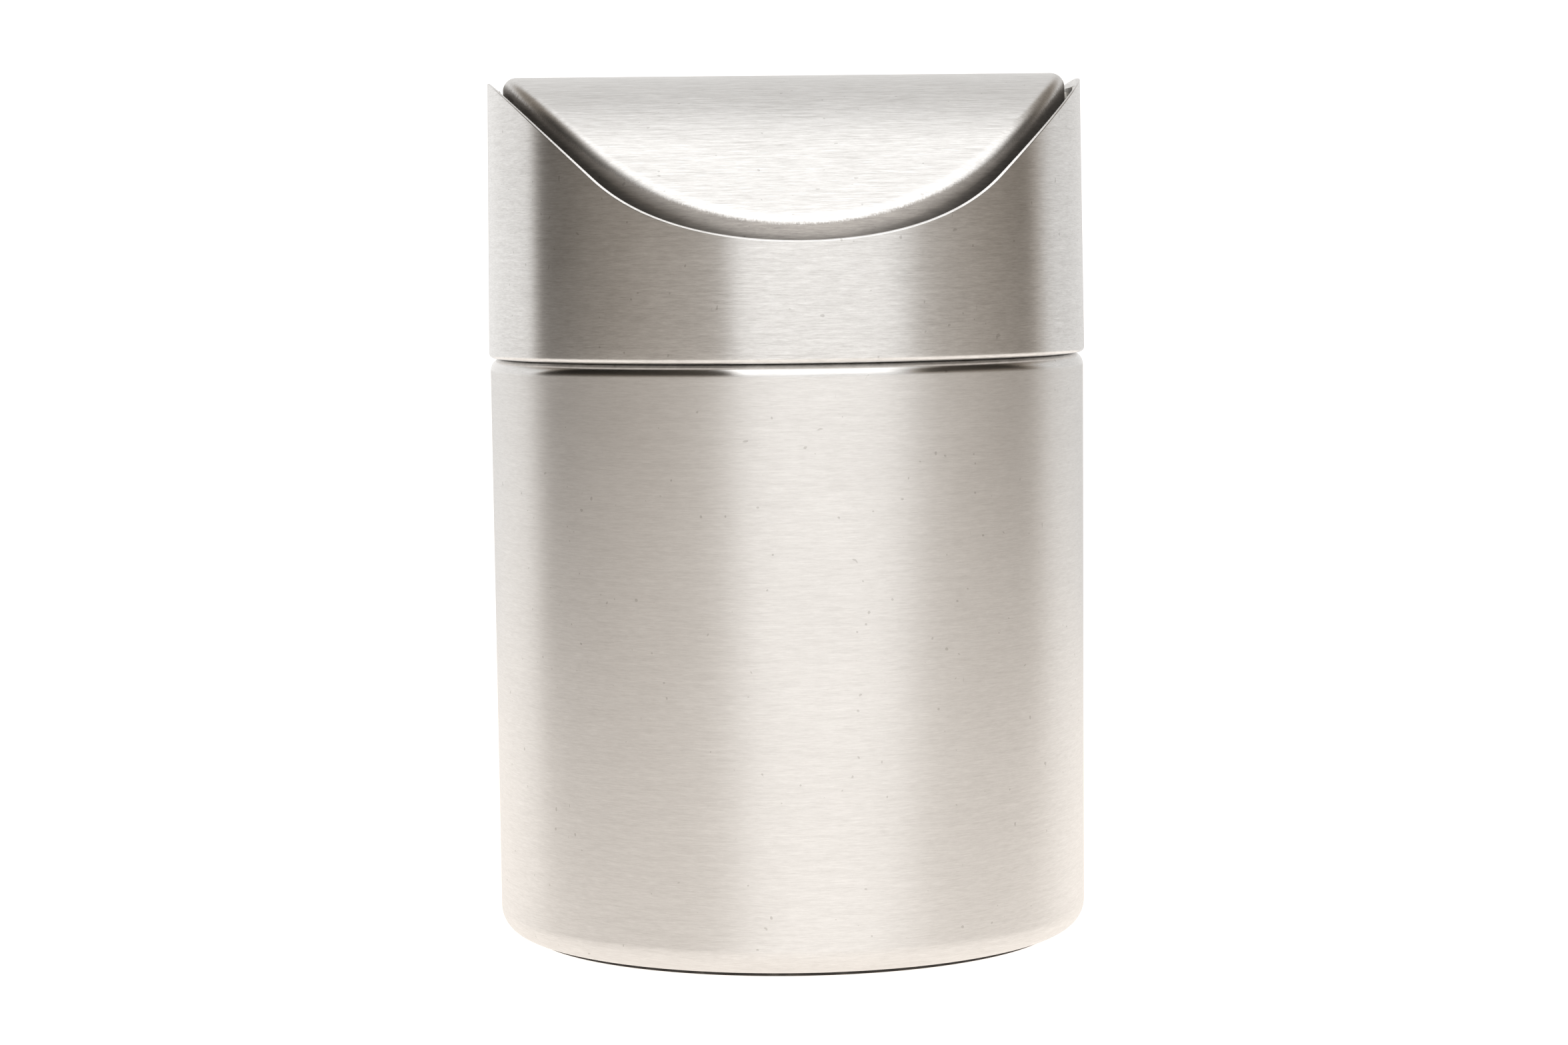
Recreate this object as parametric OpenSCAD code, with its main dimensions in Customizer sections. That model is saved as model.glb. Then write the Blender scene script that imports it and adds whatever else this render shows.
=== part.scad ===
// Desktop waste bin with a lift-off collar and a swinging flap, in pressed stainless sheet.
// Millimetres, +Z up. The origin is the centre of the underside of the base pad.
// The flap turns about an axis along X; front and back are -Y and +Y, and the bin is symmetric.

/* [Body] */
// Height from the table to the seam between body and collar
body_h = 115; // [90:1:150]
// Outside diameter of the body below its shoulder
body_d = 117.5; // [90:0.5:150]
// How much smaller the body's diameter is at its base
body_taper = 0.8; // [0:0.1:4]
// Outside radius of the corner between the wall and the base
base_corner_r = 5; // [3:0.5:8]
// Outside radius of the shoulder below the seam
shoulder_r = 2.5; // [1.5:0.25:4]
// Width of the flat land between the shoulder and the mouth
land_w = 1.2; // [1:0.1:3]
// Depth of the lip that turns down into the mouth
lip_h = 4; // [2:0.5:8]
// Thickness of the pressed sheet of every shell
sheet_t = 0.5; // [0.4:0.05:0.8]

/* [Base pad] */
// Thickness of the non-slip pad
pad_t = 0.8; // [0.5:0.1:2]
// How far the pad stays inside the flat of the base
pad_inset = 0.6; // [0.2:0.1:5]

/* [Collar] */
// Height from the seam to the two tips of the collar
collar_h = 53.9; // [44:0.1:70]
// How far the lower edge of the collar stands out past the body
collar_proud = 0.25; // [0:0.05:1]
// How much smaller the collar's diameter is at its tips
collar_taper = 1.1; // [0:0.1:4]
// Outside radius of the collar's rolled lower edge
roll_r = 0.9; // [0.8:0.05:1.5]
// Radius of the crown of the rim, seen from the side
rim_crown_r = 59; // [50:0.5:75]
// Steepest slope of the rim in degrees, where the crown turns into the hollow
rim_slope = 48; // [40:1:50]
// Radius of the hollow of the rim at the front and the back
rim_hollow_r = 63; // [40:1:90]

/* [Plug ring] */
// How far the ring reaches down into the body
plug_depth = 9; // [5:0.5:20]
// Radial clearance between the ring and the body's mouth
plug_clear = 0.35; // [0.3:0.05:1]
// Width of the ring's flange on the rolled edge of the collar
plug_flange_w = 2.2; // [1.5:0.1:3]

/* [Flap] */
// Height of the flap's ridge above the tips of the collar
flap_rise = 1.1; // [0:0.1:4]
// Radius of the flap's arch along its ridge
flap_crown_r = 57; // [48:0.5:70]
// Slope in degrees at which the arch runs out straight
flap_slope = 41; // [34:1:46]
// Depth of the flange that turns down all round the flap
flange_h = 5; // [4:0.25:6]
// Radius of the ear of the flange round each pivot hole
ear_r = 5; // [4:0.25:6]

/* [Pivots] */
// Depth of the pivot axis below the tips of the collar
pivot_drop = 5.9; // [4.5:0.1:8]
// Diameter of the pivot pins
pin_d = 3; // [2:0.1:4]
// Radial clearance of a pin in the flap
pin_clear = 0.06; // [0.03:0.01:0.1]
// Diameter of a pin's head inside the flap
head_d = 6; // [5:0.1:8]
// Thickness of a pin's head
head_t = 0.9; // [0.6:0.1:1.5]
// Diameter of a pin's peened end behind its bracket
peen_d = 4.4; // [4.2:0.1:5]
// Thickness of a pin's peened end
peen_t = 0.6; // [0.4:0.1:1]
// Room between a peened end and the collar
peen_room = 0.4; // [0.3:0.1:1]
// Diameter of the nylon washers
washer_d = 6.4; // [5:0.1:8]
// Thickness of the nylon washers
washer_t = 0.6; // [0.4:0.1:1]
// Play of the flap along each pin
end_float = 0.2; // [0.15:0.05:0.5]
// Thickness of the pivot brackets
bracket_t = 0.8; // [0.6:0.1:1.2]
// Height of the pivot brackets
bracket_h = 8; // [6:0.5:10]
// Width of each wing that welds a bracket to the collar
wing_w = 4; // [2:0.5:8]

/* [Hidden] */
$fn = 180;

// Radii of the body at its shoulder and at its base, of its mouth, and of the lip's bend
body_r = body_d / 2;
base_r = body_r - body_taper / 2;
mouth_r = body_r - shoulder_r - land_w;
lip_bend_r = 2 * sheet_t;

// Heights of the collar's tips, the flap's ridge and the pivot axis
tip_z = body_h + collar_h;
ridge_z = tip_z + flap_rise;
pivot_z = tip_z - pivot_drop;

// Outside radius of the collar at its lower edge and at its tips
collar_r = body_r + collar_proud;
collar_tip_r = collar_r - collar_taper / 2;

// Outside radius of the plug ring
plug_r = mouth_r - plug_clear;

// Places along a pivot, from the collar inwards: bracket, washer, flange, head
bracket_x = collar_inner(pivot_z) - peen_room - peen_t;
washer_x = bracket_x - bracket_t;
flap_r = washer_x - washer_t - end_float;
head_x = flap_r - sheet_t - end_float;

// Longer than anything that it cuts
cut = 2 * body_d;
// Overshoot of a cut past the face it opens
eps = 1;

// Inside radius of the collar's wall at height z
function collar_inner(z) = collar_r - sheet_t - (collar_taper / 2) * (z - body_h) / collar_h;

// Half section of a can with straight tapered sides and both corners round, drawn in by inset
module can_section(inset) {
    low_z = pad_t + inset;
    high_z = body_h - inset;
    low_corner = base_corner_r - inset;
    high_corner = shoulder_r - inset;
    low_side = base_r - inset;
    high_side = body_r - inset;
    polygon([[0, low_z], [low_side - low_corner, low_z], [low_side, low_z + low_corner],
             [high_side, high_z - high_corner], [high_side - high_corner, high_z], [0, high_z]]);
    translate([low_side - low_corner, low_z + low_corner]) circle(low_corner, $fn = 96);
    translate([high_side - high_corner, high_z - high_corner]) circle(high_corner, $fn = 96);
}

// Half section of the lip, from the land down into the mouth, with its bend
module lip_section() {
    translate([mouth_r, body_h - lip_h]) square([sheet_t, lip_h - lip_bend_r]);
    intersection() {
        translate([mouth_r + lip_bend_r, body_h - lip_bend_r]) difference() {
            circle(lip_bend_r, $fn = 64);
            circle(lip_bend_r - sheet_t, $fn = 64);
        }
        translate([mouth_r, body_h - lip_bend_r]) square([lip_bend_r, lip_bend_r]);
    }
}

module body_shell() {
    color([0.80, 0.79, 0.77]) rotate_extrude() {
        difference() {
            can_section(0);
            can_section(sheet_t);
            translate([0, body_h - eps]) square([mouth_r + lip_bend_r, 2 * eps]);
        }
        lip_section();
    }
}

// Disc under the flat of the base
module base_pad() {
    color([0.12, 0.11, 0.11]) cylinder(r = base_r - base_corner_r - pad_inset, h = pad_t);
}

// Everything below the rim, seen from the side: a crown between two hollows
module rim_region() {
    crown_z = tip_z - rim_crown_r;
    turn_z = crown_z + rim_crown_r * cos(rim_slope);
    reach = rim_crown_r + rim_hollow_r;
    difference() {
        union() {
            translate([0, crown_z]) circle(rim_crown_r);
            translate([-cut / 2, 0]) square([cut, turn_z]);
        }
        for (side = [-1, 1])
            translate([side * reach * sin(rim_slope), crown_z + reach * cos(rim_slope)])
                circle(rim_hollow_r);
    }
}

// Extrudes a side view, drawn as Y and Z, right across the bin along X
module across() {
    translate([-cut / 2, 0, 0]) rotate([90, 0, 90]) linear_extrude(height = cut) children();
}

// Half section of the collar's wall with its rolled lower edge, drawn in by inset
module collar_section(inset) {
    roll = roll_r - inset;
    low_side = collar_r - inset;
    low_z = body_h + inset;
    polygon([[0, low_z], [low_side - roll, low_z], [low_side, low_z + roll],
             [collar_tip_r - inset, tip_z], [collar_tip_r - inset, tip_z + eps], [0, tip_z + eps]]);
    translate([low_side - roll, low_z + roll]) circle(roll, $fn = 64);
}

module collar_shell() {
    color([0.66, 0.65, 0.63]) intersection() {
        rotate_extrude() difference() {
            collar_section(0);
            collar_section(sheet_t);
            translate([0, body_h - eps]) square([plug_r, cut]);
        }
        across() rim_region();
    }
}

// L-section ring: its flange lies on the collar's rolled edge, its wall goes into the body
module plug_ring() {
    color([0.60, 0.60, 0.58]) rotate_extrude() {
        translate([plug_r - sheet_t, body_h - plug_depth]) square([sheet_t, plug_depth + 2 * sheet_t]);
        translate([plug_r - sheet_t, body_h + sheet_t]) square([plug_flange_w + sheet_t, sheet_t]);
    }
}

// Everything below the flap's arch, seen from the side, drawn in by inset
module arch_region(inset) {
    r = flap_crown_r - inset;
    turn_y = r * sin(flap_slope);
    turn_z = r * cos(flap_slope);
    side_y = cut / 2;
    side_z = turn_z - (side_y - turn_y) * tan(flap_slope);
    translate([0, ridge_z - flap_crown_r]) {
        circle(r);
        polygon([[-side_y, side_z], [-turn_y, turn_z], [turn_y, turn_z], [side_y, side_z],
                 [side_y, -cut], [-side_y, -cut]]);
    }
}

// Extrudes a round section about the pivot axis, from one place along X to another
module along_pivot(from_x, to_x) {
    translate([from_x, 0, pivot_z]) rotate([90, 0, 90]) linear_extrude(height = to_x - from_x)
        children();
}

// Wall of the flap's flange as a plain tube
module flange_tube() {
    difference() {
        cylinder(r = flap_r, h = ridge_z + eps);
        translate([0, 0, -eps]) cylinder(r = flap_r - sheet_t, h = ridge_z + 3 * eps);
    }
}

module flap_shell() {
    color([0.84, 0.83, 0.81]) difference() {
        union() {
            difference() {
                intersection() {
                    cylinder(r = flap_r, h = ridge_z + eps);
                    across() arch_region(0);
                }
                across() translate([0, -flange_h]) arch_region(0);
                intersection() {
                    cylinder(r = flap_r - sheet_t, h = ridge_z + eps);
                    across() arch_region(sheet_t);
                }
            }
            intersection() {
                flange_tube();
                across() arch_region(0);
                along_pivot(-cut / 2, cut / 2) circle(ear_r);
            }
        }
        along_pivot(-cut / 2, cut / 2) circle(pin_d / 2 + pin_clear, $fn = 64);
    }
}

// Flat plate that holds a pin, with a wing on each side against the collar's wall
module pivot_bracket() {
    low_z = pivot_z - bracket_h / 2;
    high_z = pivot_z + bracket_h / 2;
    meet_a = acos(bracket_x / collar_inner(high_z));
    meet_y = bracket_x * tan(meet_a);
    wing_a = wing_w / collar_r * 180 / PI;
    color([0.55, 0.55, 0.54]) difference() {
        union() {
            translate([washer_x, -meet_y, low_z]) cube([bracket_t, 2 * meet_y, bracket_h]);
            for (side = [-1, 1])
                rotate([0, 0, side * (meet_a + wing_a / 2) - wing_a / 2])
                    rotate_extrude(angle = wing_a)
                        polygon([[collar_inner(low_z) - bracket_t, low_z],
                                 [collar_inner(low_z), low_z],
                                 [collar_inner(high_z), high_z],
                                 [collar_inner(high_z) - bracket_t, high_z]]);
        }
        along_pivot(washer_x - eps, bracket_x + eps) circle(pin_d / 2, $fn = 64);
    }
}

// Pin with its head inside the flap and its peened end behind the bracket
module pivot_pin() {
    color([0.70, 0.69, 0.67]) {
        along_pivot(head_x - head_t, head_x) circle(head_d / 2, $fn = 64);
        along_pivot(head_x - head_t, bracket_x + peen_t) circle(pin_d / 2, $fn = 64);
        along_pivot(bracket_x, bracket_x + peen_t) circle(peen_d / 2, $fn = 64);
    }
}

module washer() {
    color([0.92, 0.91, 0.88]) along_pivot(washer_x - washer_t, washer_x) difference() {
        circle(washer_d / 2, $fn = 64);
        circle(pin_d / 2, $fn = 64);
    }
}

// The same piece on the left
module left() {
    mirror([1, 0, 0]) children();
}

body_shell();
base_pad();
collar_shell();
plug_ring();
flap_shell();
left() pivot_bracket();  // pivot_bracket_left
pivot_bracket();  // pivot_bracket_right
left() pivot_pin();  // pivot_pin_left
pivot_pin();  // pivot_pin_right
left() washer();  // washer_left
washer();  // washer_right
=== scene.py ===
import math

import bmesh
import bpy
from mathutils import Matrix, Vector


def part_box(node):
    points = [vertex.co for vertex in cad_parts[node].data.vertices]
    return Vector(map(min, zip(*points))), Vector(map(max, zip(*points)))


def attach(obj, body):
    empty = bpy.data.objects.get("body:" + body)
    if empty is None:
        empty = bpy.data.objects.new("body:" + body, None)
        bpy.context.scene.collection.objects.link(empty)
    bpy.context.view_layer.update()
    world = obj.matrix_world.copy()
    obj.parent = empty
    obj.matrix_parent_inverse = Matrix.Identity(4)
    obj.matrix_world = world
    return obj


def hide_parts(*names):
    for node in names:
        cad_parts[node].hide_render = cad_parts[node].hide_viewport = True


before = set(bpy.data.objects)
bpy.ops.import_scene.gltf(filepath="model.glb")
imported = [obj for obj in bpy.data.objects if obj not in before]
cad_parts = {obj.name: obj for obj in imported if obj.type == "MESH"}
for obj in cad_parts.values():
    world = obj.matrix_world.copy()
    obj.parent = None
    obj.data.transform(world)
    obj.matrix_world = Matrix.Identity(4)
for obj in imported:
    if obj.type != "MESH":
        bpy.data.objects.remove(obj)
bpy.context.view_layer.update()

MM = 0.001

# Mesh work
TURNS = 288                     # steps round a full spin
PIVOT_TURNS = 72                # steps round a full spin of a part on the pivot axis
MERGE = 1e-6                    # points nearer than this become one
RIM_ANGLE = math.radians(50)    # edges that turn more than this stay crisp
TRIM_ANGLE = math.radians(70)   # edges that turn more than this are trimmed sheet edges

# Sizes of the pressed shells
SHEET = 0.5 * MM                # thickness of every shell
EDGE_R = 0.13 * MM              # rounding of a trimmed sheet edge

# Body: taper towards the base, corners, land and lip
BODY_TAPER = 0.4 * MM
BASE_CORNER = 5.0 * MM
SHOULDER = 2.5 * MM
LAND = 1.2 * MM
LIP_BEND = 1.0 * MM
LIP_DEPTH = 4.0 * MM

# Collar, and the saddle of its rim, seen from the side
COLLAR_TAPER = 0.55 * MM
ROLL = 0.9 * MM
RIM_CROWN = 59.0 * MM
RIM_SLOPE = math.radians(48)
RIM_HOLLOW = 63.0 * MM

# Plug ring
PLUG_DEPTH = 9.0 * MM
PLUG_CLEAR = 0.35 * MM
PLUG_FLANGE = 2.2 * MM
PLUG_BEND = 0.3 * MM

# Flap: its arch, which runs along X, its turned-down flange and its ears
FLAP_CROWN = 57.0 * MM
FLAP_SLOPE = math.radians(41)
FLAP_BEND = 2.6 * MM
FLANGE = 5.0 * MM
EAR_R = 5.0 * MM

# Pivots
SHANK_R = 1.5 * MM              # pin's shank, and the washer's hole
PLATE = 0.8 * MM                # thickness of a bracket
PLATE_CORNER = 1.6 * MM

# Places that the frame gives
BODY_LOW, BODY_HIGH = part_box("body_shell")
COLLAR_LOW, COLLAR_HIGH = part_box("collar_shell")
FLAP_LOW, FLAP_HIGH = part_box("flap_shell")
PAD_LOW, PAD_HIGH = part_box("base_pad")
PIN_LOW, PIN_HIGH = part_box("pivot_pin_right")
BRACKET_LOW, BRACKET_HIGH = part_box("pivot_bracket_right")
WASHER_LOW, WASHER_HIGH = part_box("washer_right")
SEAM_Z = BODY_HIGH.z
TIP_Z = COLLAR_HIGH.z
RIDGE_Z = FLAP_HIGH.z
PIVOT_Z = (PIN_LOW.z + PIN_HIGH.z) / 2
BODY_R = BODY_HIGH.x
BASE_R = BODY_R - BODY_TAPER
COLLAR_R = COLLAR_HIGH.x
COLLAR_TIP_R = COLLAR_R - COLLAR_TAPER
MOUTH_R = BODY_R - SHOULDER - LAND
PLUG_R = MOUTH_R - PLUG_CLEAR
FLAP_R = FLAP_HIGH.x


# ---------------------------------------------------------------- shader maths

class Wire:
    """An output socket of a node tree, so that shader maths reads as plain maths."""

    def __init__(self, graph, socket):
        self.graph = graph
        self.socket = socket

    def __add__(self, other):
        return self.graph.maths("ADD", self, other)

    def __radd__(self, other):
        return self.graph.maths("ADD", other, self)

    def __sub__(self, other):
        return self.graph.maths("SUBTRACT", self, other)

    def __rsub__(self, other):
        return self.graph.maths("SUBTRACT", other, self)

    def __mul__(self, other):
        return self.graph.maths("MULTIPLY", self, other)


class Graph:
    """Builds one node tree, for a material or for the world."""

    def __init__(self, owner):
        owner.use_nodes = True
        self.owner = owner
        self.tree = owner.node_tree
        self.tree.nodes.clear()

    def node(self, kind, settings=None, inputs=None, out=0):
        """Adds a node, sets it up, fills or links its inputs and gives its output."""
        made = self.tree.nodes.new(kind)
        for key, value in (settings or {}).items():
            setattr(made, key, value)
        for key, value in (inputs or {}).items():
            if isinstance(value, Wire):
                self.tree.links.new(value.socket, made.inputs[key])
            else:
                made.inputs[key].default_value = value
        return Wire(self, made.outputs[out]) if len(made.outputs) else made

    def maths(self, operation, first, second=0.0):
        """One step of maths on wires or numbers."""
        return self.node("ShaderNodeMath", {"operation": operation}, {0: first, 1: second})

    def ramp(self, value, low, high, to_low=0.0, to_high=1.0):
        """Smooth step of a value from one level to another."""
        return self.node("ShaderNodeMapRange", {"interpolation_type": "SMOOTHSTEP"},
                         {"Value": value, "From Min": low, "From Max": high,
                          "To Min": to_low, "To Max": to_high})

    def split(self, vector):
        """X, Y and Z of a vector."""
        return [self.node("ShaderNodeSeparateXYZ", None, {0: vector}, out=axis) for axis in "XYZ"]

    def place(self):
        """The point on the piece, in metres, as X, Y and Z."""
        return self.split(self.node("ShaderNodeTexCoord", out="Object"))

    def noise(self, point, sizes, detail=2.0, roughness=0.5):
        """Noise from 0 to 1 whose grain measures sizes, in metres, along X, Y and Z."""
        spread = [axis * (1 / size) for axis, size in zip(point, sizes)]
        vector = self.node("ShaderNodeCombineXYZ", None, dict(zip("XYZ", spread)))
        return self.node("ShaderNodeTexNoise", None,
                         {"Vector": vector, "Scale": 1.0,
                          "Detail": detail, "Roughness": roughness})

    def blend(self, factor, first, second):
        """Mix of two colours."""
        return self.node("ShaderNodeMix", {"data_type": "RGBA"},
                         {0: factor, 6: first, 7: second}, out=2)

    def bump(self, height, depth):
        """Normal of a surface whose relief is height times depth, in metres."""
        return self.node("ShaderNodeBump", None,
                         {"Height": height, "Strength": 1.0, "Distance": depth})

    def shader(self, **inputs):
        """A Principled shader, its inputs named with _ for each space."""
        named = {key.replace("_", " "): value for key, value in inputs.items()}
        return self.node("ShaderNodeBsdfPrincipled", None, named)

    def output(self, shader):
        """Makes a shader the material's surface, and gives the material."""
        self.node("ShaderNodeOutputMaterial", None, {"Surface": shader})
        return self.owner


# ---------------------------------------------------------------- finishes

# Colours of bare metal, nylon and rubber, the darker and the lighter where they are mottled
STEEL_TONE = (0.78, 0.755, 0.725)
# The flange is the flap's own steel painted darker: painted shade for the gap inside the collar's
# rim
FLANGE_PAINTED_SHADE_TONE = (0.41, 0.388, 0.368)
RING_TONE = (0.62, 0.61, 0.59)
PIN_TONE = (0.72, 0.71, 0.69)
NYLON_TONES = (0.76, 0.74, 0.68, 1.0), (0.86, 0.84, 0.79, 1.0)
RUBBER_TONE = (0.022, 0.019, 0.017, 1.0)
DUST_TONE = (0.075, 0.068, 0.060, 1.0)

# Brush lines round the bin and along the ridge: their sizes along X, Y and Z, and their relief
ROUND_GRAIN = {"fine": (2.6 * MM, 2.6 * MM, 0.22 * MM), "broad": (12 * MM, 12 * MM, 0.7 * MM),
               "depth": 0.006 * MM}
RIDGE_GRAIN = {"fine": (4 * MM, 0.22 * MM, 0.22 * MM), "broad": (14 * MM, 0.6 * MM, 0.6 * MM),
               "depth": 0.003 * MM}
FINE_SHARE = 0.75               # the rest of a brush line's strength is its broad part
GRAIN_TURN = 0.25               # a quarter turn: highlights spread across lines round the bin

# Marks on all the brushed sheet: their sizes, and how much they change the tone or roughness
CLOUD = (16 * MM,) * 3
CLOUD_SHADE = 0.08
CLOUD_ROUGHNESS = 0.05
SPECK = (1.1 * MM,) * 3
SPECK_SHADE = 0.25
TICK = (0.5 * MM, 0.5 * MM, 3.0 * MM)
TICK_SHADE = 0.12

# The body's wall and its shoulder, which starts just below the bend
WALL_ROUGHNESS = 0.40
SHOULDER_POLISH = 0.22          # how much less rough the shoulder is
SHOULDER_START = SEAM_Z - SHOULDER - 0.3 * MM
SHOULDER_FULL = SEAM_Z - SHOULDER + 0.6 * MM

# Where the flap's finish gives way to the flange's dull finish and painted shade, measured in from
# the flap's radius
CREASE_START = 0.6 * MM
CREASE_END = 0.05 * MM
CREASE_SCUFF = (0.3 * MM, 0.3 * MM, 4.0 * MM)
CREASE_WANDER = 0.6 * MM
CREASE_ADVANCE = 0.7 * MM       # how much further in it lies at the front and back
CREASE_FRONT = 0.55 * FLAP_R    # where along Y that advance starts


def brushed_finish(g, point, grain, colour, roughness, anisotropy, streak):
    """Shader of stainless sheet brushed one way: streaks, faint cloudiness, specks and ticks."""
    fine = g.noise(point, grain["fine"], 4.0, 0.8)
    broad = g.noise(point, grain["broad"], 3.0, 0.6)
    cloud = g.noise(point, CLOUD, 3.0, 0.6)
    specks = g.ramp(g.noise(point, SPECK, 0.0), 0.83, 0.86)
    ticks = g.ramp(g.noise(point, TICK, 1.0), 0.80, 0.84)
    lines = fine * FINE_SHARE + broad * (1 - FINE_SHARE)
    marks = (cloud - 0.5) * CLOUD_SHADE - specks * SPECK_SHADE - ticks * TICK_SHADE
    tone = g.blend(0.5 + (lines - 0.5) * streak + marks,
                   [c * 0.5 for c in colour] + [1.0],
                   [min(c * 1.5, 1.0) for c in colour] + [1.0])
    return g.shader(Base_Color=tone, Metallic=1.0,
                    Roughness=roughness + (cloud - 0.5) * CLOUD_ROUGHNESS,
                    Anisotropic=anisotropy, Anisotropic_Rotation=GRAIN_TURN,
                    Normal=g.bump(lines, grain["depth"]))


def new_material(name):
    """The empty graph of a new material."""
    return Graph(bpy.data.materials.new(name))


def can_steel():
    """The body's sheet: a satin wall, whose shoulder the brush hardly reached and left bright."""
    g = new_material("body_brushed_steel")
    point = g.place()
    shoulder = g.ramp(point[2], SHOULDER_START, SHOULDER_FULL)
    return g.output(brushed_finish(g, point, ROUND_GRAIN, STEEL_TONE,
                                   roughness=WALL_ROUGHNESS - shoulder * SHOULDER_POLISH,
                                   anisotropy=0.70, streak=0.7))


def collar_brushed():
    """The collar's sheet: brighter and brushed more sharply than the body's."""
    g = new_material("collar_brushed_steel")
    return g.output(brushed_finish(g, g.place(), ROUND_GRAIN, STEEL_TONE,
                                   roughness=0.30, anisotropy=0.80, streak=1.3))


def flap_steel():
    """The flap's sheet: brushed along the ridge on top; dull, brushed round and painted darker as
    shade on its flange.
    """
    g = new_material("flap_brushed_steel")
    point = g.place()
    x, y = point[:2]
    radius = g.maths("SQRT", x * x + y * y)
    wander = (g.noise(point, CREASE_SCUFF, 2.0) - 0.5) * CREASE_WANDER
    advance = g.ramp(g.maths("ABSOLUTE", y), CREASE_FRONT, FLAP_R, 0.0, CREASE_ADVANCE)
    # Mask from the top's finish to the flange's real finish and its painted shade
    flange_finish_and_shade = g.ramp(radius + wander + advance, FLAP_R - CREASE_START, FLAP_R - CREASE_END)
    top = brushed_finish(g, point, RIDGE_GRAIN, STEEL_TONE,
                         roughness=0.295, anisotropy=0.0, streak=1.8)
    # The flange's darker tone is painted shade; its roughness and round brushing are its real
    # finish
    flange = brushed_finish(g, point, ROUND_GRAIN, FLANGE_PAINTED_SHADE_TONE,
                            roughness=0.55, anisotropy=0.3, streak=1.5)
    return g.output(g.node("ShaderNodeMixShader", None, {0: flange_finish_and_shade, 1: top, 2: flange}))


def plain_steel(name, colour, roughness):
    """Bare rolled sheet or turned steel, with faint cloudiness and grain."""
    g = new_material(name)
    point = g.place()
    grain = g.noise(point, (0.3 * MM,) * 3, 3.0, 0.7)
    cloud = g.noise(point, (5 * MM,) * 3, 3.0, 0.6)
    tone = g.blend(cloud, [c * 0.85 for c in colour] + [1.0], [*colour, 1.0])
    uneven = (grain - 0.5) * 0.15 + (cloud - 0.5) * 0.12
    return g.output(g.shader(Base_Color=tone, Metallic=1.0, Roughness=roughness + uneven,
                             Normal=g.bump(grain, 0.008 * MM)))


def nylon():
    """Natural nylon, slightly waxy and mottled."""
    g = new_material("natural_nylon")
    cloud = g.noise(g.place(), (1.5 * MM,) * 3, 3.0, 0.6)
    return g.output(g.shader(Base_Color=g.blend(cloud, *NYLON_TONES),
                             Roughness=0.42 + cloud * 0.12, Normal=g.bump(cloud, 0.01 * MM)))


def pad_rubber():
    """Dark non-slip sheet with a fine pebbled face and a little dust."""
    g = new_material("pad_rubber")
    point = g.place()
    pebble = g.noise(point, (0.5 * MM,) * 3, 2.0, 0.5)
    dust = g.ramp(g.noise(point, (9 * MM,) * 3, 4.0, 0.7), 0.52, 0.75)
    return g.output(g.shader(Base_Color=g.blend(dust, RUBBER_TONE, DUST_TONE),
                             Roughness=0.75 + pebble * 0.15, Normal=g.bump(pebble, 0.05 * MM)))


# ---------------------------------------------------------------- modelling

def arc(centre, radius, start, stop, steps=8):
    """Points of an arc in a half section, from one angle to another in degrees above +R."""
    angles = [math.radians(start + (stop - start) * i / steps) for i in range(steps + 1)]
    return [(centre[0] + radius * math.cos(a), centre[1] + radius * math.sin(a)) for a in angles]


def line(start, stop, steps):
    """Points between two points of a half section, without the two ends."""
    reach = (stop[0] - start[0], stop[1] - start[1])
    return [(start[0] + reach[0] * i / steps, start[1] + reach[1] * i / steps)
            for i in range(1, steps)]


def spun(outline, closed=False, along_x=False):
    """Turns a half section about Z, or about the pivot axis along X, into a clean mesh."""
    bm = bmesh.new()
    if along_x:
        ring = [bm.verts.new((z, 0, PIVOT_Z + r)) for r, z in outline]
    else:
        ring = [bm.verts.new((r, 0, z)) for r, z in outline]
    edges = [bm.edges.new(pair) for pair in zip(ring, ring[1:])]
    if closed:
        edges.append(bm.edges.new((ring[-1], ring[0])))
    centre = (0, 0, PIVOT_Z) if along_x else (0, 0, 0)
    axis = (1, 0, 0) if along_x else (0, 0, 1)
    bmesh.ops.spin(bm, geom=ring + edges, cent=centre, axis=axis, dvec=(0, 0, 0),
                   angle=2 * math.pi, steps=PIVOT_TURNS if along_x else TURNS,
                   use_merge=True, use_duplicate=False)
    bmesh.ops.remove_doubles(bm, verts=bm.verts, dist=MERGE)
    bmesh.ops.recalc_face_normals(bm, faces=bm.faces)
    return bm


def thickened(bm, thickness, outward):
    """Gives a sheet its wall, inward from the given surface, with softly rounded trimmed edges.

    outward gives a face's number. The face with the highest one has to face away from the axis.
    """
    face = max(bm.faces, key=lambda f: outward(f.calc_center_median()))
    middle = face.calc_center_median()
    if face.normal.dot(middle - Vector((0, 0, middle.z))) < 0:
        bmesh.ops.reverse_faces(bm, faces=bm.faces)
    bmesh.ops.solidify(bm, geom=bm.faces, thickness=thickness)
    bmesh.ops.recalc_face_normals(bm, faces=bm.faces)
    rims = [e for e in bm.edges if len(e.link_faces) == 2 and e.calc_face_angle() > TRIM_ANGLE]
    bmesh.ops.bevel(bm, geom=rims, offset=EDGE_R, offset_type="OFFSET", affect="EDGES",
                    segments=2, profile=0.5, material=-1)
    return bm


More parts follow.
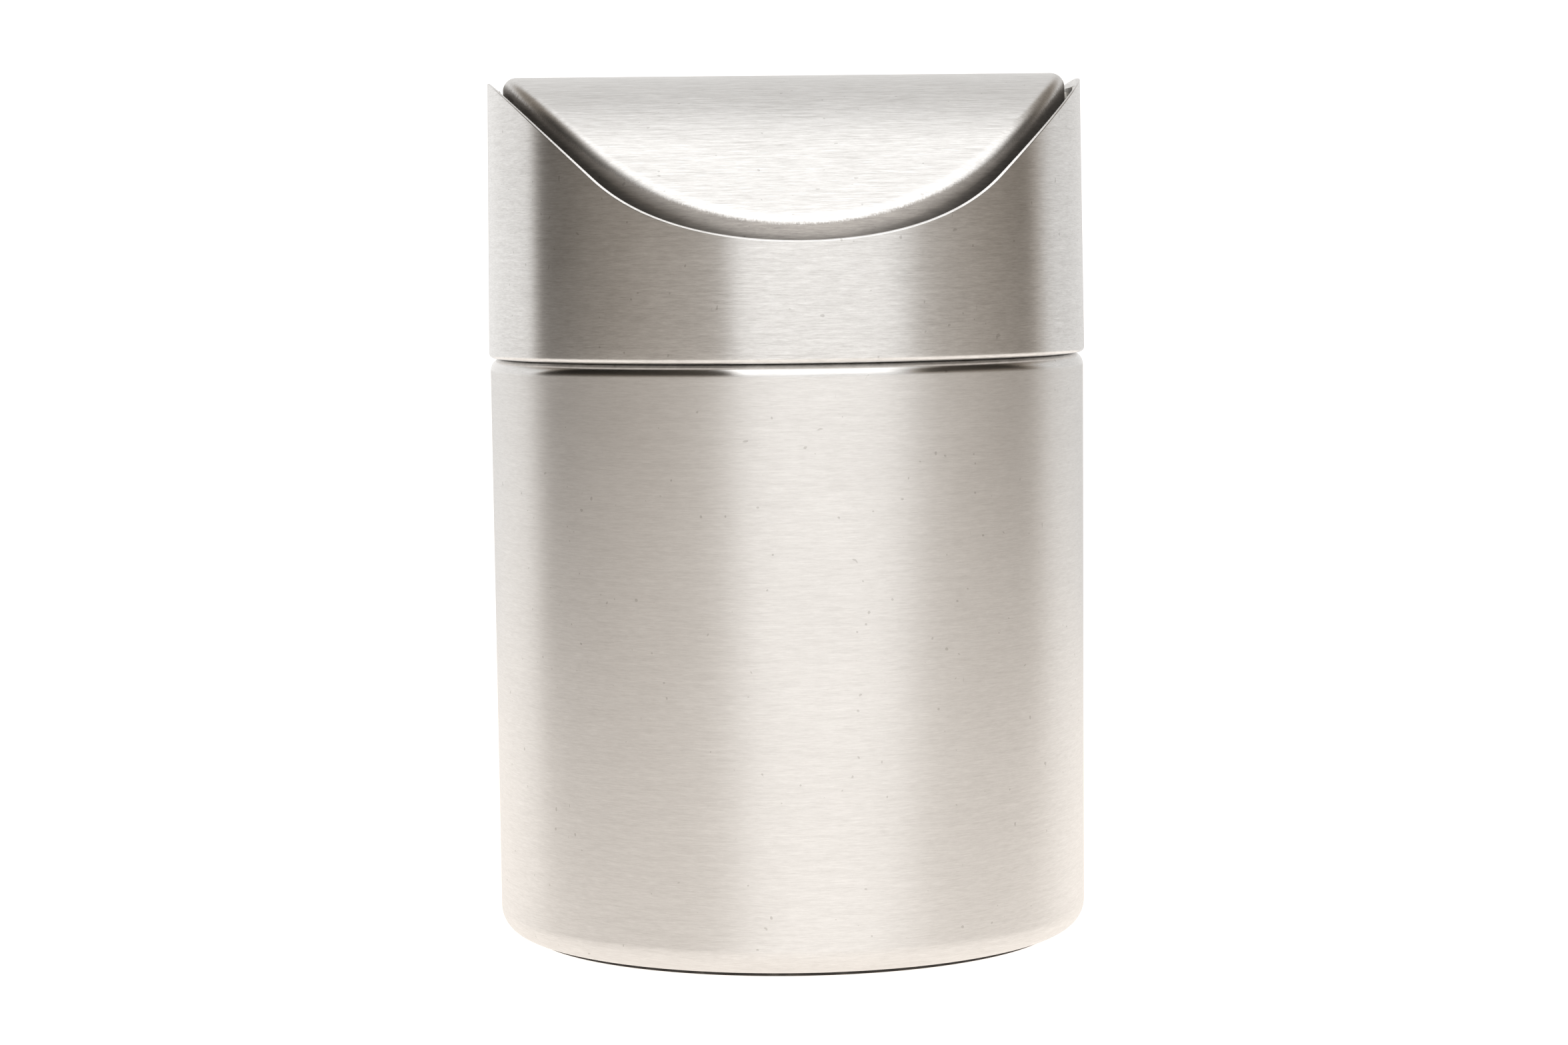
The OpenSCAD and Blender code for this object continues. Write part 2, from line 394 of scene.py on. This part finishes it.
def finished(name, bm, material, body, slot, *nodes):
    """Makes the mesh an object, shades it, ties it to its body and hides its CAD nodes."""
    mesh = bpy.data.meshes.new(name)
    bm.to_mesh(mesh)
    bm.free()
    mesh.polygons.foreach_set("use_smooth", [True] * len(mesh.polygons))
    mesh.set_sharp_from_angle(angle=RIM_ANGLE)
    mesh.materials.append(material)
    piece = bpy.data.objects.new(name, mesh)
    bpy.context.scene.collection.objects.link(piece)
    # Flat faces shade flat up to their rounded edges. The mesh keeps that, not the modifier
    flats = piece.modifiers.new("flats", "WEIGHTED_NORMAL")
    flats.keep_sharp = True
    flats.weight = 100
    shaded = piece.evaluated_get(bpy.context.evaluated_depsgraph_get())
    piece.data = bpy.data.meshes.new_from_object(shaded)
    piece.data.name = name
    piece.modifiers.clear()
    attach(piece, body)
    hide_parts(*nodes)


def radius_of(point):
    """Distance of a point from the bin's axis."""
    return math.hypot(point.x, point.y)


def body_shell():
    """Deep-drawn can: flat base, round corner, wall, shoulder, land and lip down into the mouth."""
    low_z = BODY_LOW.z
    corner_z = low_z + BASE_CORNER
    shoulder_z = SEAM_Z - SHOULDER
    outline = [(0, low_z), (BASE_R / 2, low_z)]
    outline += arc((BASE_R - BASE_CORNER, corner_z), BASE_CORNER, -90, 0, 14)
    outline += line((BASE_R, corner_z), (BODY_R, shoulder_z), 6)
    outline += arc((BODY_R - SHOULDER, shoulder_z), SHOULDER, 0, 90, 12)
    outline += arc((MOUTH_R + LIP_BEND, SEAM_Z - LIP_BEND), LIP_BEND, 90, 180, 8)
    outline += [(MOUTH_R, SEAM_Z - LIP_DEPTH)]
    return thickened(spun(outline), SHEET, radius_of)


def rim_z(y):
    """Height of the collar's rim at a place along Y: a crown that turns into a hollow."""
    y = abs(y)
    turn_y = RIM_CROWN * math.sin(RIM_SLOPE)
    if y < turn_y:
        return TIP_Z - RIM_CROWN + math.sqrt(RIM_CROWN ** 2 - y ** 2)
    reach = RIM_CROWN + RIM_HOLLOW
    hollow_z = TIP_Z - RIM_CROWN + reach * math.cos(RIM_SLOPE)
    return hollow_z - math.sqrt(RIM_HOLLOW ** 2 - (reach * math.sin(RIM_SLOPE) - y) ** 2)


def collar_shell():
    """Ring rolled inward at its lower edge, whose wall is trimmed to the saddle of the rim."""
    foot_z = SEAM_Z + 2 * ROLL
    edge_band = 2 * EDGE_R
    outline = [(PLUG_R, SEAM_Z)]
    outline += arc((COLLAR_R - ROLL, SEAM_Z + ROLL), ROLL, -90, 0, 8)
    outline += [(COLLAR_R, foot_z)]
    outline += line((COLLAR_R, foot_z), (COLLAR_TIP_R, TIP_Z), 6)
    outline += [(COLLAR_TIP_R, TIP_Z)]
    bm = thickened(spun(outline), SHEET, radius_of)
    for vert in bm.verts:
        x, y, z = vert.co
        below_tip = TIP_Z - z
        if below_tip < edge_band:
            vert.co.z = rim_z(y) - below_tip
        elif z > foot_z:
            vert.co.z = foot_z + (z - foot_z) * (rim_z(y) - foot_z) / (TIP_Z - foot_z)
    bmesh.ops.recalc_face_normals(bm, faces=bm.faces)
    return bm


def plug_ring():
    """L-section ring: wall down into the body's mouth, flange on the collar's rolled edge."""
    flange_z = SEAM_Z + SHEET
    outline = [(PLUG_R, SEAM_Z - PLUG_DEPTH)]
    outline += arc((PLUG_R + PLUG_BEND, flange_z - PLUG_BEND), PLUG_BEND, 180, 90, 4)
    outline += [(PLUG_R + PLUG_FLANGE, flange_z)]
    return thickened(spun(outline), SHEET, lambda point: -point.z)


def arch_drop(y):
    """How far the flap's arch has fallen below its ridge at a place along Y."""
    y = abs(y)
    turn_y = FLAP_CROWN * math.sin(FLAP_SLOPE)
    if y < turn_y:
        return FLAP_CROWN - math.sqrt(FLAP_CROWN ** 2 - y ** 2)
    return FLAP_CROWN * (1 - math.cos(FLAP_SLOPE)) + (y - turn_y) * math.tan(FLAP_SLOPE)


def flap_shell():
    """Disc arched about its ridge, bent down all round into a flange, with an ear at each pivot."""
    outline = [(0, 0)] + line((0, 0), (FLAP_R - FLAP_BEND, 0), 32)
    outline += arc((FLAP_R - FLAP_BEND, -FLAP_BEND), FLAP_BEND, 90, 0, 10)
    outline += line((FLAP_R, -FLAP_BEND), (FLAP_R, -FLANGE), 3) + [(FLAP_R, -FLANGE)]
    bm = thickened(spun(outline), SHEET, radius_of)
    for vert in bm.verts:
        x, y, z = vert.co
        arch_z = RIDGE_Z - arch_drop(y)
        if z < -FLAP_BEND and abs(y) < EAR_R:
            share = (-FLAP_BEND - z) / (FLANGE - FLAP_BEND)
            ear_z = PIVOT_Z - math.sqrt(EAR_R ** 2 - y ** 2)
            low_z = min(arch_z - FLANGE, ear_z)
            vert.co.z = arch_z - FLAP_BEND + share * (low_z - arch_z + FLAP_BEND)
        else:
            vert.co.z = arch_z + z
    bmesh.ops.recalc_face_normals(bm, faces=bm.faces)
    return bm


def base_pad():
    """Disc of non-slip sheet with softened edges."""
    high_z = PAD_HIGH.z
    radius = PAD_HIGH.x
    soft = 0.25 * MM
    outline = [(0, PAD_LOW.z), (radius / 2, PAD_LOW.z)]
    outline += arc((radius - soft, PAD_LOW.z + soft), soft, -90, 0, 4)
    outline += arc((radius - soft, high_z - soft), soft, 0, 90, 4)
    outline += [(radius / 2, high_z), (0, high_z)]
    return spun(outline)


def pivot_pin():
    """Shoulder pin: domed head inside the flap, shank, and a peened end behind the bracket."""
    head_r = (PIN_HIGH.z - PIN_LOW.z) / 2
    head_low = PIN_LOW.x
    head_high = head_low + 0.9 * MM
    end = PIN_HIGH.x
    peen_r = 2.2 * MM
    peen_low = end - 0.6 * MM
    dome = 0.45 * MM
    dome_inset = 0.98
    soft = 0.1 * MM
    outline = [(0, head_low)]
    outline += [(head_r * math.sin(a) * dome_inset, head_low + dome * (1 - math.cos(a)))
                for a in (math.radians(15 * i) for i in range(1, 6))]
    outline += [(head_r, head_low + dome), (head_r, head_high - soft), (head_r - soft, head_high)]
    outline += [(SHANK_R, head_high), (SHANK_R, peen_low), (peen_r - soft, peen_low)]
    outline += [(peen_r, peen_low + soft), (peen_r * 0.9, end - soft), (peen_r * 0.6, end)]
    outline += [(0, end)]
    return spun(outline, along_x=True)


def washer():
    """Flat nylon washer with chamfered corners."""
    outer = (WASHER_HIGH.z - WASHER_LOW.z) / 2
    inner = SHANK_R
    low, high = WASHER_LOW.x, WASHER_HIGH.x
    soft = 0.12 * MM
    outline = [(inner, low + soft), (inner + soft, low),
               (outer - soft, low), (outer, low + soft),
               (outer, high - soft), (outer - soft, high),
               (inner + soft, high), (inner, high - soft)]
    return spun(outline, closed=True, along_x=True)


def pivot_bracket():
    """Flat plate that stands off the collar, with a curved wing welded to the wall on each side."""
    wall_r = COLLAR_R - SHEET - COLLAR_TAPER * (PIVOT_Z - SEAM_Z) / (TIP_Z - SEAM_Z)
    face_x = WASHER_HIGH.x + PLATE
    half_h = (BRACKET_HIGH.z - BRACKET_LOW.z) / 2
    meet = math.acos(face_x / wall_r)
    end = math.asin(BRACKET_HIGH.y / wall_r)
    bm = bmesh.new()
    bmesh.ops.create_grid(bm, x_segments=64, y_segments=8, size=1.0)
    for vert in bm.verts:
        turn = vert.co.x * end
        radius = wall_r if abs(turn) > meet else face_x / math.cos(turn)
        into_corner = max(PLATE_CORNER - (end - abs(turn)) * wall_r, 0)
        height = half_h - PLATE_CORNER + math.sqrt(PLATE_CORNER ** 2 - into_corner ** 2)
        vert.co = (radius * math.cos(turn), radius * math.sin(turn), PIVOT_Z + vert.co.y * height)
    bmesh.ops.recalc_face_normals(bm, faces=bm.faces)
    return thickened(bm, PLATE, lambda point: point.x)


def mirrored(bm):
    """The left-hand copy of a right-hand piece."""
    bmesh.ops.scale(bm, vec=(-1, 1, 1), verts=bm.verts)
    bmesh.ops.reverse_faces(bm, faces=bm.faces)
    return bm


# ---------------------------------------------------------------- the bin

ring_steel = plain_steel("ring_rolled_steel", RING_TONE, roughness=0.36)
pin_steel = plain_steel("pin_turned_steel", PIN_TONE, roughness=0.25)
washer_nylon = nylon()

finished("can_wall", body_shell(), can_steel(), "bin", "body_steel", "body_shell")
finished("foot_pad", base_pad(), pad_rubber(), "bin", "pad", "base_pad")
finished("collar_wall", collar_shell(), collar_brushed(), "lid", "collar_steel", "collar_shell")
finished("mouth_plug", plug_ring(), ring_steel, "lid", "ring_steel", "plug_ring")
finished("swing_flap", flap_shell(), flap_steel(), "flap", "flap_steel", "flap_shell")
for side, handed in (("right", lambda bm: bm), ("left", mirrored)):
    finished(f"hinge_plate_{side}", handed(pivot_bracket()), ring_steel, "lid", "ring_steel",
             f"pivot_bracket_{side}")
    finished(f"hinge_pin_{side}", handed(pivot_pin()), pin_steel, "lid", "pin_steel",
             f"pivot_pin_{side}")
    finished(f"hinge_washer_{side}", handed(washer()), washer_nylon, "lid", "nylon",
             f"washer_{side}")


# ---------------------------------------------------------------- stage, light and camera

FLOOR_R = 550 * MM
FLOOR_GAP = 0.05 * MM           # keeps the floor off the pad's face
FLOOR_TONE = (0.30, 0.28, 0.26, 1.0)
GLOW_TONE = (1.0, 0.935, 0.87, 1.0)
GLOW = 1.08
DIM_TONE = (1.0, 0.84, 0.67, 1.0)
BRIGHT_TONE = (1.0, 0.985, 0.965, 1.0)
BACKDROP = 1.2                  # brightness of the white seen behind the bin


def pale_floor():
    """A plain white table top, which glows so that it runs into the white behind it."""
    mesh = bpy.data.meshes.new("floor")
    bm = bmesh.new()
    bmesh.ops.create_circle(bm, cap_ends=True, segments=96, radius=FLOOR_R)
    bmesh.ops.translate(bm, vec=(0, 0, -FLOOR_GAP), verts=bm.verts)
    bm.to_mesh(mesh)
    bm.free()
    g = new_material("floor_white")
    mesh.materials.append(g.output(g.shader(Base_Color=FLOOR_TONE, Roughness=0.8,
                                            Emission_Color=GLOW_TONE, Emission_Strength=GLOW)))
    floor = bpy.data.objects.new("floor", mesh)
    bpy.context.scene.collection.objects.link(floor)


def studio():
    """Soft light, as brightness by direction: x, y and z run from -1 to 1, and bearing from -pi
    to pi, with 0 in front of the bin and more towards its right."""
    world = bpy.data.worlds.new("studio")
    bpy.context.scene.world = world
    g = Graph(world)
    x, y, z = g.split(g.node("ShaderNodeTexCoord", out="Generated"))
    bearing = g.maths("ARCTAN2", x, 0 - y)
    # A tall white panel in front, narrower and brighter towards its top
    panel_left = g.ramp(x * (z * 0.35 + 1.0), -0.48, -0.36)
    panel_right = g.ramp(x * (z * 0.5 + 1.0), 0.94, 0.60)
    in_front = g.ramp(y, 0.3, 0.0)
    panel = panel_left * panel_right * in_front * g.ramp(z, 0.1, 0.6, 1.0, 1.8)
    # White walls behind, weaker high up and on the right, and a canopy overhead
    walls = g.ramp(bearing, -1.93, -2.07) + g.ramp(bearing, 1.68, 2.12)
    high_sides = g.ramp(z, 0.30, 0.60) * g.ramp(g.maths("ABSOLUTE", x), 0.22, 0.42)
    rear = walls * g.ramp(z, 0.1, 0.7, 1.0, 0.88) * g.ramp(x, -0.3, 0.5, 1.0, 0.84)
    rear = rear * (1.0 - high_sides * 0.7)
    canopy = g.ramp(z, 0.80, 1.0) * 0.5
    bright = g.maths("MAXIMUM", panel, rear + canopy)
    # Dim warm sides, darker towards the back and overhead
    left = g.ramp(bearing, -2.0, -0.4, 0.06, 0.50) * g.ramp(bearing, 0.05, -0.05)
    right = g.ramp(bearing, 2.0, 0.7, 0.16, 0.58) * g.ramp(bearing, -0.05, 0.05)
    dim = (left + right) * g.ramp(z, 0.35, 0.03, 0.14, 1.0)
    seen = g.node("ShaderNodeLightPath", out="Is Camera Ray")
    strength = g.maths("MAXIMUM", g.maths("MAXIMUM", bright, dim), seen * BACKDROP)
    tone = g.blend(g.ramp(strength, 0.1, 0.9), DIM_TONE, BRIGHT_TONE)
    backdrop = g.node("ShaderNodeBackground", None, {"Color": tone, "Strength": strength})
    g.node("ShaderNodeOutputWorld", None, {"Surface": backdrop})


def camera():
    """A long lens from the front, a little left of centre and just under the height of the rim."""
    distance = 756.8 * MM
    height = 138.5 * MM
    swing = math.radians(-3.11)     # about the bin's axis
    heading = math.radians(-3.04)
    pitch = math.radians(4.32)
    roll = math.radians(-0.67)
    lens = bpy.data.cameras.new("camera")
    lens.lens = 87.3
    lens.sensor_width = 36.0
    lens.clip_start = 0.01
    eye = bpy.data.objects.new("camera", lens)
    place = Matrix.Rotation(swing, 4, "Z") @ Matrix.Translation((0, -distance, height))
    turn = Matrix.Rotation(heading, 4, "Z") @ Matrix.Rotation(math.pi / 2 - pitch, 4, "X")
    eye.matrix_world = Matrix.Translation(place.translation) @ turn @ Matrix.Rotation(roll, 4, "Z")
    bpy.context.scene.collection.objects.link(eye)
    bpy.context.scene.camera = eye


pale_floor()
studio()
camera()
bpy.context.scene.view_settings.view_transform = "Standard"
